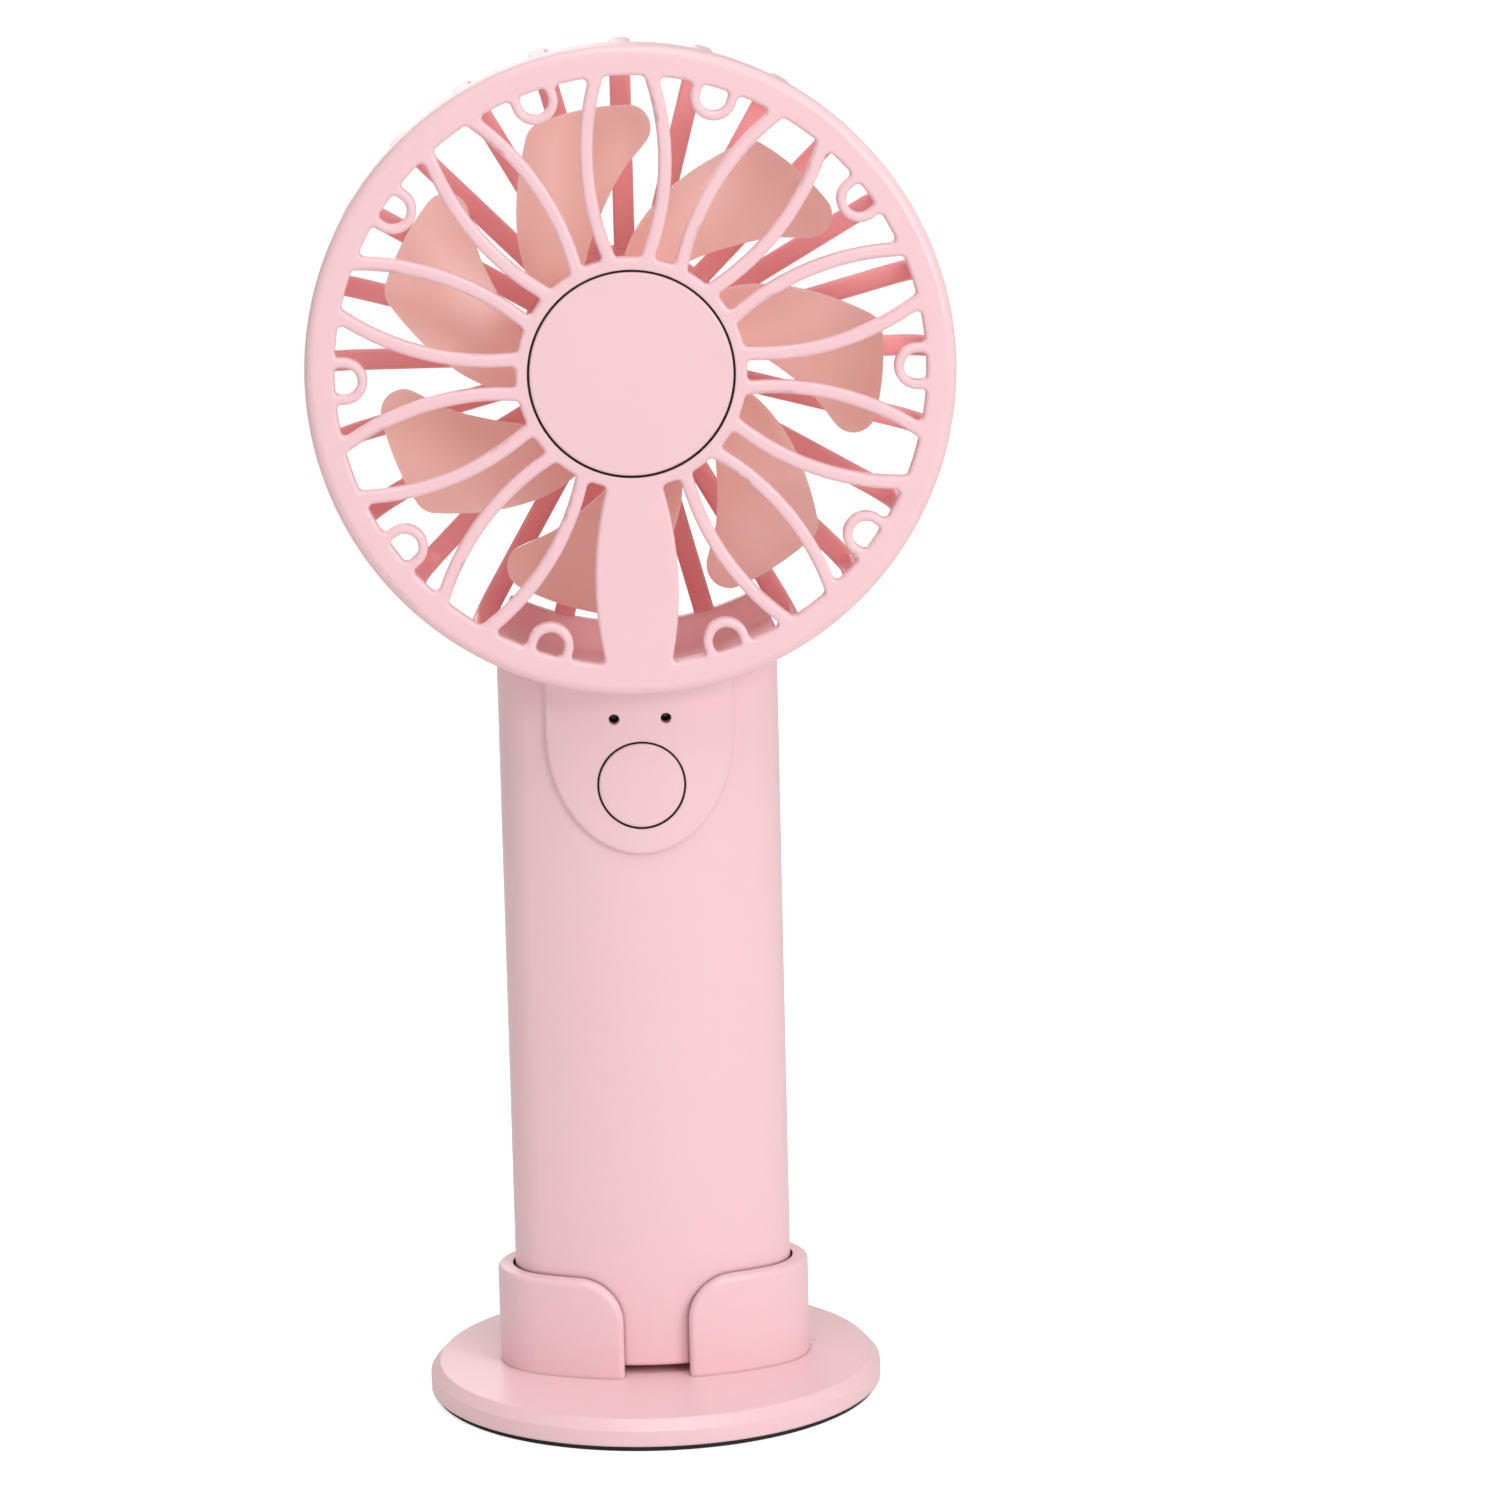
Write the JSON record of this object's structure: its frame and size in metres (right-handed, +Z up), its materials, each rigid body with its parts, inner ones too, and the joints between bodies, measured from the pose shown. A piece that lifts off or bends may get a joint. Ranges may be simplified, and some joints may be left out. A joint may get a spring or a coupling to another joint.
{
  "type": "handheld electric fan",
  "caption": "Handheld fan with a petal-patterned round grille, swept impeller, oval battery handle with a push button, and a round table stand it lifts out of.",
  "frame": {"origin": "centre of the stand's underside, on the table", "axes": "+Z up, +X to the right seen from the front, the fan blows towards -Y"},
  "size_m": [0.09, 0.0656, 0.1947],
  "materials": {
    "body_plastic": "satin moulded plastic, pale pink",
    "blade_plastic": "translucent salmon plastic",
    "pad_rubber": "matt black anti-slip rubber",
    "board": "green solder mask",
    "chip_black": "black moulded plastic",
    "screw_steel": "zinc-plated steel",
    "led_lens": "clear epoxy",
    "port_steel": "nickel-plated steel",
    "cell_wrap": "shrink-wrapped cell, blue",
    "foam": "black sponge",
    "lead_red": "PVC insulation, red",
    "motor_steel": "zinc-plated steel",
    "bush_bronze": "sintered bronze",
    "magnet": "dark ferrite",
    "core_iron": "laminated iron",
    "copper": "enamelled copper"
  },
  "bodies": {
    "stand": {"stand_base": "body_plastic", "anti_slip_pad": "pad_rubber"},
    "fan_body": {"handle_tube": "body_plastic", "handle_end_cap": "body_plastic", "front_cover": "body_plastic", "rear_grille": "body_plastic", "hub_cap": "body_plastic", "circuit_board": "board", "board_chips": "chip_black", "board_screws": "screw_steel", "switch_body": "chip_black", "indicator_leds": "led_lens", "charging_port": "port_steel", "port_tongue": "chip_black", "battery_cell": "cell_wrap", "cell_tabs": "port_steel", "cell_cushion": "foam", "battery_leads": "lead_red", "motor_leads": "lead_red", "motor_can": "motor_steel", "motor_end_cap": "chip_black", "shaft_bushes": "bush_bronze", "motor_magnets": "magnet", "motor_brushes": "copper", "motor_terminals": "copper"},
    "rotor": {"impeller": "blade_plastic", "motor_shaft": "screw_steel", "armature_core": "core_iron", "armature_windings": "copper", "commutator": "copper"},
    "button": {"power_button": "body_plastic", "switch_plunger": "chip_black"}
  },
  "joints": [
    {"name": "lift_out", "type": "slide", "parent": "stand", "child": "fan_body", "axis": [0, 0, 1], "range_m": [0, 0.03]},
    {"name": "rotor_spin", "type": "hinge", "parent": "fan_body", "child": "rotor", "pos_m": [0, 0, 0.1497], "axis": [0, -1, 0], "continuous": true},
    {"name": "button_press", "type": "slide", "parent": "fan_body", "child": "button", "axis": [0, 1, 0], "range_m": [0, 0.0005], "stiffness_N_per_m": 2500}
  ]
}
